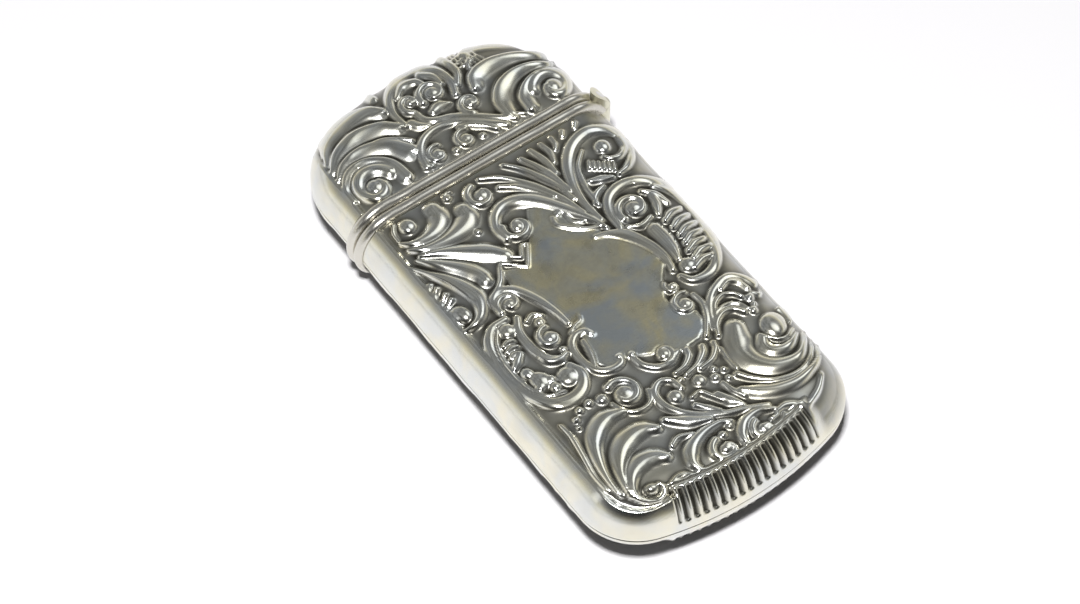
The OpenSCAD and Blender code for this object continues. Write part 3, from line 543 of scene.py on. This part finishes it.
class Skin:
    """One surface of a struck half: a flat face of columns and the round edge along three sides."""

    def __init__(self, end, step, tube):
        edge, normal = end.rows(step)
        n_row = int((edge[:, 1].max() - MOUTH) / step) + 1
        face_x = np.repeat(edge[:, :1], n_row, 1)
        face_v = MOUTH + (edge[:, 1:] - MOUTH) * np.linspace(0, 1, n_row)
        side = np.tile([1.0, 0.0], (n_row, 1))
        left, right = np.c_[face_x[0], face_v[0]], np.c_[face_x[-1], face_v[-1]]
        rim = np.vstack([left[:-1], edge, right[-2::-1]])
        out = np.vstack([-side[:-1], normal, side[1:]])
        n_turn = max(int(tube * math.pi / 2 / step), LEAST_STEPS)
        theta = np.linspace(0, math.pi / 2, n_turn, endpoint=False)
        self.place(face_x.ravel(), face_v.ravel(), rim, out, theta, tube)
        self.join(len(edge), n_row, len(rim), n_turn)
        end_x = np.abs(rim[:, 0] + tube * out[:, 0])
        at_end = np.clip((FOOT_HALF - end_x) / FOOT_SOFT, 0, 1) * (out[:, 1] > FOOT_FACING)
        self.at_foot = np.r_[np.zeros(face_x.size), np.repeat(at_end, n_turn)]

    def place(self, face_x, face_v, rim, out, theta, tube):
        """Points, outward normals and turn from the seam, of the face and then of the round edge."""
        c, s = np.cos(theta)[None, :], np.sin(theta)[None, :]
        shape = (len(rim), len(theta))
        across, along = (out[:, :1] * c).ravel(), (out[:, 1:] * c).ravel()
        edge_out = np.c_[across, along, np.broadcast_to(s, shape).ravel()]
        edge_at = np.c_[np.repeat(rim, len(theta), 0), np.zeros(len(edge_out))] + tube * edge_out
        self.base = np.vstack([np.c_[face_x, face_v, np.full(face_x.size, tube)], edge_at])
        self.normal = np.vstack([np.tile([0.0, 0.0, 1.0], (face_x.size, 1)), edge_out])
        self.theta = np.r_[np.full(face_x.size, math.pi / 2), np.broadcast_to(theta, shape).ravel()]

    def join(self, n_col, n_row, n_rim, n_turn):
        """Quads of both parts, and the rows of vertices along the seam and the mouth."""
        face = np.arange(n_col * n_row).reshape(n_col, n_row)
        shared = np.r_[face[0, :-1], face[:, -1], face[-1, -2::-1]]
        edge = np.c_[face.size + np.arange(n_rim * n_turn).reshape(n_rim, n_turn), shared]
        self.quads = np.vstack([
            np.stack([face[:-1, :-1], face[1:, :-1], face[1:, 1:], face[:-1, 1:]], -1).reshape(-1, 4),
            np.stack([edge[:-1, :-1], edge[:-1, 1:], edge[1:, 1:], edge[1:, :-1]], -1).reshape(-1, 4)])
        self.seam = edge[:, 0]
        self.mouth = np.r_[edge[0, :-1], face[:, 0], edge[-1, -2::-1]]


def bridge(a, b, pa, pb):
    """Triangles between two open rows of vertices of different counts."""
    def share(p):
        run = np.r_[0, np.cumsum(np.linalg.norm(np.diff(p, axis=0), axis=1))]
        return run / run[-1]
    ta, tb = share(pa), share(pb)
    i = j = 0
    tris = []
    while i < len(a) - 1 or j < len(b) - 1:
        if j == len(b) - 1 or (i < len(a) - 1 and ta[i + 1] <= tb[j + 1]):
            tris.append((a[i], a[i + 1], b[j]))
            i += 1
        else:
            tris.append((a[i], b[j + 1], b[j]))
            j += 1
    return tris


def striker(skin):
    """Depth of the grooves of the striker across the round edge of the foot, from 0 to 1."""
    run = np.arctan2(skin.base[:, 0], skin.base[:, 1] - FOOT.bow_v) * FOOT.bow_r
    deg = np.degrees(skin.theta)
    along = (np.abs(run) < STRIKER_HALF) * skin.at_foot
    across = (np.clip((deg - STRIKER_LOW) / STRIKER_SOFT, 0, 1)
              * np.clip((STRIKER_HIGH - deg) / STRIKER_SOFT, 0, 1))
    groove = 0.5 + 0.5 * np.cos(2 * np.pi * (run / STRIKER_PITCH + 0.5))
    head = np.exp(-((deg - HEAD_AT) / HEAD_SPREAD) ** 2)
    return along * np.maximum(across * groove, HEAD_DEPTH * head)


def lift(skin, relief, mirror, sign):
    """Height over each vertex, below zero under the crests, its painted shade in the hollows, partly
    standing for oxide, and its tarnish.

    The strokes are drawn as seen from the camera, so the pattern slides as the round edge falls."""
    fall = EDGE_R - skin.base[:, 2]
    x = skin.base[:, 0] * (-1 if mirror else 1) - SLIDE_X * fall
    y = skin.base[:, 1] * sign - SLIDE_Y * fall
    outside = np.hypot(np.minimum(x - SMOOTH_X, 0), np.minimum(y - SMOOTH_Y, 0) * (x < 0))
    fade = np.clip(np.sin(skin.theta) * FADE_GAIN - FADE_START, 0, 1)
    fade = fade * np.clip((SMOOTH_R - outside) / SMOOTH_SOFT, 0, 1)
    rib = np.zeros(len(x))
    if sign < 0:
        bare = skin.at_foot * np.clip((BARE_BELOW - np.degrees(skin.theta)) / STRIKER_SOFT, 0, 1)
        fade = fade * (1 - bare * np.clip((x - BARE_LEFT) / BARE_SOFT, 0, 1))
        rib = striker(skin)
    height = (sample(relief.h, x, y) - RELIEF) * fade - STRIKER_DEPTH * rib
    # Painted shade in the hollows of the relief and in the grooves of the striker
    shade = np.maximum(sample(relief.shade, x, y) * fade, np.clip(STRIKER_SHADE * rib - STRIKER_CLEAR, 0, 1))
    return height, shade, sample(relief.panel, x, y) * (skin.theta > FACE_TURN)


def shell_faces(outer, inner):
    """Faces of the outside with the closed seam and mouth, and those of the inside."""
    n = len(outer.base)
    outside = [tuple(quad) for quad in outer.quads.tolist()]
    for row_a, row_b, turn in ((outer.seam, inner.seam, 1), (outer.mouth, inner.mouth, -1)):
        tris = bridge(row_a.tolist(), (row_b + n).tolist(), outer.base[row_a], inner.base[row_b])
        outside += [tri[::turn] for tri in tris]
    return outside, [tuple(quad[::-1]) for quad in (inner.quads + n).tolist()]


def struck_half(name, end, sign, back, relief, material, lining):
    """Outer relief surface and plain inside, closed along the seam and the mouth."""
    outer = Skin(end, BACK_SPACING if back else SPACING, EDGE_R)
    inner = Skin(end, INNER_SPACING, INNER_R)
    height, shade, tarnish = lift(outer, relief, back, sign)
    sink = SEAM_SINK * np.clip(1 - outer.theta * EDGE_R / SEAM_WIDTH, 0, 1)
    verts = np.vstack([outer.base + outer.normal * (height - sink)[:, None], inner.base])
    verts = verts * (1, sign, -1 if back else 1) + (0, JOINT_Y, MID_Z)
    outside, inside = shell_faces(outer, inner)
    faces = outside + inside
    if (sign > 0) ^ back:
        faces = [face[::-1] for face in faces]
    mesh = bpy.data.meshes.new(name)
    mesh.from_pydata((verts * MM).tolist(), [], faces)
    mesh.materials.append(material)
    mesh.materials.append(lining)
    slots = np.repeat(np.array([0, 1], np.int32), [len(outside), len(inside)])
    mesh.polygons.foreach_set("material_index", slots)
    mesh.polygons.foreach_set("use_smooth", np.ones(len(faces), bool))
    # The painted shade of the hollows, partly standing for oxide, is stored on the vertices
    for key, values in (("hollow_shade_and_oxide", shade), ("tarnish", tarnish)):
        layer = mesh.attributes.new(key, "FLOAT", "POINT")
        layer.data.foreach_set("value", np.r_[values, np.zeros(len(inner.base))].astype(np.float32))
    mesh.update()
    obj = bpy.data.objects.new(name, mesh)
    bpy.context.collection.objects.link(obj)
    return obj


# Colour sockets of a mix node
MIX_A, MIX_B, MIX_RESULT = 6, 7, 2

# Stains, scratches and dents of the metals; scales are per metre
COOL_STAIN, WARM_STAIN = (0.62, 0.66, 0.67), (0.86, 0.79, 0.53)
COOL_TO, WARM_FROM = 0.36, 0.62
CLOUD_SCALE, BLOOM_SCALE, DENT_SCALE = 220.0, 210.0, 240.0
CLOUD_CLEAR = 0.42
CLOUD_PANEL, CLOUD_ELSEWHERE = 2.0, 0.35
DULL_ROUGH = 0.22
STREAK_TURN, STREAK_SCALE = (0.3, 0.2, 0.7), (900, 6000, 3000)
SCRATCH_DEPTH, DENT_DEPTH = 0.00003, 0.0008


def node_maker(tree):
    """Shorthand that adds nodes to a tree, sets their properties and fills or links their inputs."""
    def make(kind, inputs=None, **props):
        node = tree.nodes.new("ShaderNode" + kind)
        for key, value in props.items():
            setattr(node, key, value)
        for key, value in (inputs or {}).items():
            if isinstance(value, bpy.types.NodeSocket):
                tree.links.new(value, node.inputs[key])
            else:
                node.inputs[key].default_value = value
        return node
    return make


def calc(make, operation, *values, clamp=False):
    """Socket with the result of an operation on sockets or numbers."""
    return make("Math", dict(enumerate(values)), operation=operation, use_clamp=clamp).outputs[0]


def rescale(make, value, from_range, to_range):
    """Socket with a value carried from one range to another, held at its ends."""
    return make("MapRange", dict(enumerate((value, *from_range, *to_range)))).outputs[0]


def blend(make, share, colour_a, colour_b):
    """Socket with the mix of two colours."""
    return make("Mix", {0: share, MIX_A: colour_a, MIX_B: colour_b}, data_type="RGBA").outputs[MIX_RESULT]


def ramp(make, value, stops):
    """Socket with the colour of a value between stops."""
    node = make("ValToRGB", {"Fac": value})
    first, *between, last = stops
    ends = node.color_ramp.elements
    for end, (at, colour) in zip(ends, (first, last)):
        end.position, end.color = at, (*colour, 1)
    for at, colour in between:
        ends.new(at).color = (*colour, 1)
    return node.outputs["Color"]


def metal(name, bright, oxide_and_shade_colour, rough, scratch, wave=0.0, stained=0.0):
    """Metal with worn bright crests, hollows darkened by painted shade and oxide, cloudy tarnish, fine
    scratches and a beaten wave.
    """
    mat = bpy.data.materials.new(name)
    mat.use_nodes = True
    make = node_maker(mat.node_tree)
    place = make("TexCoord").outputs["Object"]
    # Painted shade of the hollows, partly standing for oxide, read from the mesh
    hollow_shade_and_oxide = make("Attribute", attribute_name="hollow_shade_and_oxide").outputs["Fac"]
    tarnish = make("Attribute", attribute_name="tarnish").outputs["Fac"]
    cloud = make("TexNoise", {"Vector": place, "Scale": CLOUD_SCALE, "Detail": 7.0, "Roughness": 0.62})
    cloudy = calc(make, "ADD", cloud.outputs["Fac"], -CLOUD_CLEAR)
    grip = calc(make, "MULTIPLY_ADD", tarnish, CLOUD_PANEL, CLOUD_ELSEWHERE)
    shade = calc(make, "MULTIPLY_ADD", cloudy, grip, hollow_shade_and_oxide, clamp=True)
    bloom = make("TexNoise", {"Vector": place, "Scale": BLOOM_SCALE, "Detail": 6.0, "Distortion": 0.8})
    stain = ramp(make, bloom.outputs["Fac"], ((COOL_TO, COOL_STAIN), (WARM_FROM, WARM_STAIN)))
    plain = blend(make, calc(make, "MAXIMUM", tarnish, stained), (*bright, 1), stain)
    streak = make("Mapping", {"Vector": place, "Rotation": STREAK_TURN, "Scale": STREAK_SCALE})
    lines = make("TexNoise", {"Vector": streak.outputs[0], "Scale": 1.0, "Detail": 3.0})
    scratched = make("Bump", {"Height": lines.outputs["Fac"], "Strength": scratch,
                              "Distance": SCRATCH_DEPTH})
    dents = make("TexNoise", {"Vector": place, "Scale": DENT_SCALE, "Detail": 0.0})
    beaten = make("Bump", {"Height": dents.outputs["Fac"], "Normal": scratched.outputs[0],
                           "Strength": wave, "Distance": DENT_DEPTH})
    surface = mat.node_tree.nodes["Principled BSDF"]
    surface.inputs["Metallic"].default_value = 1.0
    # The base colour darkens from the plain metal towards the painted shade colour in the hollows
    for key, socket in (("Base Color", blend(make, shade, plain, (*oxide_and_shade_colour, 1))),
                        ("Roughness", rescale(make, shade, (0.0, 1.0), (rough, rough + DULL_ROUGH))),
                        ("Normal", beaten.outputs[0])):
        mat.node_tree.links.new(socket, surface.inputs[key])
    return mat


def bearing(azimuth, elevation):
    """Direction from the case to a place, by its angles in radians."""
    return Vector((math.sin(azimuth) * math.cos(elevation),
                   -math.cos(azimuth) * math.cos(elevation), math.sin(elevation)))


# Camera, at the place the photograph was taken from
CAM_AZIMUTH = math.radians(-35.423)
CAM_ELEVATION = math.radians(54.701)
CAM_ROLL = math.radians(-0.194)
CAM_TARGET = Vector((-4.152, -0.31, 5.06)) * MM
CAM_DISTANCE = 0.413
CAM_LENS, CAM_SENSOR = 122.06, 36
CAM_CLIP = 0.01

# Room that the silver mirrors, from the floor up, with its light patches, window and dark figure
WALL = (1, 1, 1)
WALL_TOP = (0.72, 0.69, 0.56)
CORNICE = (0.25, 0.255, 0.26)
CEILING = (0.15, 0.155, 0.155)
ROOM_STOPS = ((0.10, WALL), (0.22, WALL_TOP), (0.42, CORNICE), (1.0, CEILING))
PATCH_SCALE, PATCH_SEED = 3.0, 1.0
PATCH_NOISE, PATCH_RANGE = (0.35, 0.65), (-0.8, 1.3)
WINDOW_AT = Vector((0.54, 0.13, 0.83)).normalized()
WINDOW_COSINES = (0.94, 0.98)
WINDOW_BRIGHT = 7.0
FIGURE_ELEVATION = math.radians(44)
FIGURE_AT = bearing(CAM_AZIMUTH, FIGURE_ELEVATION)
FIGURE_COSINES = (0.58, 0.92)
FIGURE_DARK = 0.08
FILL_COLOUR, FILL_STRENGTH = (0.9, 0.95, 1.0, 1), 0.02

# Paper under the case, in metres, and the lamps: name, place, sides, power
FLOOR_HALF = 1.2
FLOOR_PAPER, FLOOR_SCATTER = (0.97, 0.96, 0.975), (0.3, 0.29, 0.3)
FLOOR_GLOW = 0.03
LAMPS = (("key", (-0.125, -0.124, 0.574), (0.08, 0.08), 3.95),
         ("side", (-0.42, 0.10, 0.22), (0.10, 0.25), 0.05))


def add_camera():
    """Camera with its small roll, looking at a point near the middle of the case."""
    back = bearing(CAM_AZIMUTH, CAM_ELEVATION)
    level = Vector((math.cos(CAM_AZIMUTH), math.sin(CAM_AZIMUTH), 0))
    rise = back.cross(level)
    right = level * math.cos(CAM_ROLL) + rise * math.sin(CAM_ROLL)
    up = rise * math.cos(CAM_ROLL) - level * math.sin(CAM_ROLL)
    spot = CAM_TARGET + back * CAM_DISTANCE
    data = bpy.data.cameras.new("camera")
    data.sensor_width = CAM_SENSOR
    data.lens = CAM_LENS
    data.clip_start = CAM_CLIP
    camera = bpy.data.objects.new("camera", data)
    camera.matrix_world = Matrix((
        (right.x, up.x, back.x, spot.x),
        (right.y, up.y, back.y, spot.y),
        (right.z, up.z, back.z, spot.z),
        (0, 0, 0, 1)))
    bpy.context.collection.objects.link(camera)
    bpy.context.scene.camera = camera


def add_lamp(name, place, sides, power):
    """Soft box at a place in metres, turned to the origin."""
    data = bpy.data.lights.new(name, "AREA")
    data.shape = "RECTANGLE"
    data.size, data.size_y = sides
    data.energy = power
    lamp = bpy.data.objects.new(name, data)
    lamp.location = place
    lamp.rotation_euler = (-Vector(place)).to_track_quat("-Z", "Y").to_euler()
    bpy.context.collection.objects.link(lamp)


def seen_directly(make):
    """Socket that is 1 for camera rays and what they see in metal or glass, and 0 for scattered light."""
    path = make("LightPath").outputs
    mirrored = calc(make, "MAXIMUM", path["Is Camera Ray"], path["Is Glossy Ray"])
    clear = calc(make, "MAXIMUM", mirrored, path["Is Transmission Ray"])
    unscattered = calc(make, "LESS_THAN", path["Diffuse Depth"], 0.5)
    return calc(make, "MULTIPLY", clear, unscattered)


def room_strength(make, direction, rise):
    """Socket with the strength of the room in a direction: patches towards the top, figure and window."""
    noise = make("TexNoise", {"Vector": direction, "W": PATCH_SEED, "Scale": PATCH_SCALE, "Detail": 1.0},
                 noise_dimensions="4D")
    patch = rescale(make, noise.outputs["Fac"], PATCH_NOISE, PATCH_RANGE)
    patchy = calc(make, "MULTIPLY_ADD", patch, rise, 1.0)

    def spot(towards, cosines, strengths):
        facing = make("VectorMath", {0: direction, 1: towards}, operation="DOT_PRODUCT")
        return rescale(make, facing.outputs["Value"], cosines, strengths)
    figure = spot(FIGURE_AT, FIGURE_COSINES, (1.0, FIGURE_DARK))
    window = spot(WINDOW_AT, WINDOW_COSINES, (0.0, WINDOW_BRIGHT))
    return calc(make, "MULTIPLY_ADD", patchy, figure, window)


def add_world():
    """Room: white walls, a dim uneven ceiling, a window, a dark figure behind the camera, little fill."""
    world = bpy.data.worlds.new("studio")
    bpy.context.scene.world = world
    world.use_nodes = True
    world.node_tree.nodes.clear()
    make = node_maker(world.node_tree)
    direction = make("TexCoord").outputs["Generated"]
    rise = make("SeparateXYZ", {0: direction}).outputs["Z"]
    room = make("Background", {"Color": ramp(make, rise, ROOM_STOPS),
                               "Strength": room_strength(make, direction, rise)})
    fill = make("Background", {"Color": FILL_COLOUR, "Strength": FILL_STRENGTH})
    mix = make("MixShader", {0: seen_directly(make), 1: fill.outputs[0], 2: room.outputs[0]})
    make("OutputWorld", {"Surface": mix.outputs[0]})


def floor_paper():
    """Paper that looks white and throws little light back up."""
    mat = bpy.data.materials.new("floor_paper")
    mat.use_nodes = True
    mat.node_tree.nodes.clear()
    make = node_maker(mat.node_tree)
    direct = seen_directly(make)
    paper = make("BsdfDiffuse", {"Color": blend(make, direct, (*FLOOR_SCATTER, 1), (*FLOOR_PAPER, 1))})
    glow = make("Emission", {"Color": (1, 1, 1, 1), "Strength": calc(make, "MULTIPLY", direct, FLOOR_GLOW)})
    both = make("AddShader", {0: paper.outputs[0], 1: glow.outputs[0]})
    make("OutputMaterial", {"Surface": both.outputs[0]})
    return mat


def add_floor():
    """Square sheet of paper."""
    corners = [(x * FLOOR_HALF, y * FLOOR_HALF, 0) for x, y in ((-1, -1), (1, -1), (1, 1), (-1, 1))]
    mesh = bpy.data.meshes.new("floor")
    mesh.from_pydata(corners, [], [(0, 1, 2, 3)])
    mesh.materials.append(floor_paper())
    floor = bpy.data.objects.new("floor", mesh)
    bpy.context.collection.objects.link(floor)


def add_studio():
    """Camera, room, paper and lamps."""
    bpy.context.scene.view_settings.view_transform = "Standard"
    add_camera()
    add_world()
    add_floor()
    for lamp in LAMPS:
        add_lamp(*lamp)


# The second colour of each metal is painted shade in its hollows, partly standing for oxide
silver = metal("silver", bright=(0.74, 0.735, 0.69), oxide_and_shade_colour=(0.055, 0.052, 0.042), rough=0.18, scratch=0.15,
               stained=0.35)
silver_rim = metal("silver_rim", bright=(0.66, 0.64, 0.58), oxide_and_shade_colour=(0.035, 0.032, 0.03), rough=0.26,
                   scratch=0.25, wave=0.5)
hinge_silver = metal("hinge_silver", bright=(0.78, 0.76, 0.62), oxide_and_shade_colour=(0.08, 0.075, 0.06), rough=0.38,
                     scratch=0.3, wave=0.3)
gilt = metal("gilt", bright=(0.86, 0.62, 0.28), oxide_and_shade_colour=(0.30, 0.18, 0.06), rough=0.24, scratch=0.2)
pin_silver = metal("pin_silver", bright=(0.74, 0.73, 0.71), oxide_and_shade_colour=(0.1, 0.09, 0.08), rough=0.28,
                   scratch=0.2)
rivet_silver = metal("rivet_silver", bright=(0.78, 0.77, 0.75), oxide_and_shade_colour=(0.1, 0.09, 0.08), rough=0.26,
                     scratch=0.2)
spring_steel = metal("spring_steel", bright=(0.42, 0.44, 0.47), oxide_and_shade_colour=(0.08, 0.08, 0.09), rough=0.30,
                     scratch=0.3)

LOOKS = {
    "body_rim": silver_rim, "lid_rim": silver_rim, "body_collar": gilt,
    "body_knuckle_front": hinge_silver, "body_knuckle_back": hinge_silver, "lid_knuckle": hinge_silver,
    "hinge_pin": pin_silver, "spring_pad": silver, "spring_rivets": rivet_silver, "lid_spring": spring_steel}
for name, look in LOOKS.items():
    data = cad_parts[name].data
    data.materials.clear()
    data.materials.append(look)

ornament = press_ornament()
HALVES = (("body_front", FOOT, -1, False, "case"), ("body_back", FOOT, -1, True, "case"),
          ("lid_front", CROWN, 1, False, "lid"), ("lid_back", CROWN, 1, True, "lid"))
for node, end, sign, back, body in HALVES:
    half = struck_half(node + "_relief", end, sign, back, ornament, silver, gilt)
    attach(half, body)
    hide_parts(node)

add_studio()
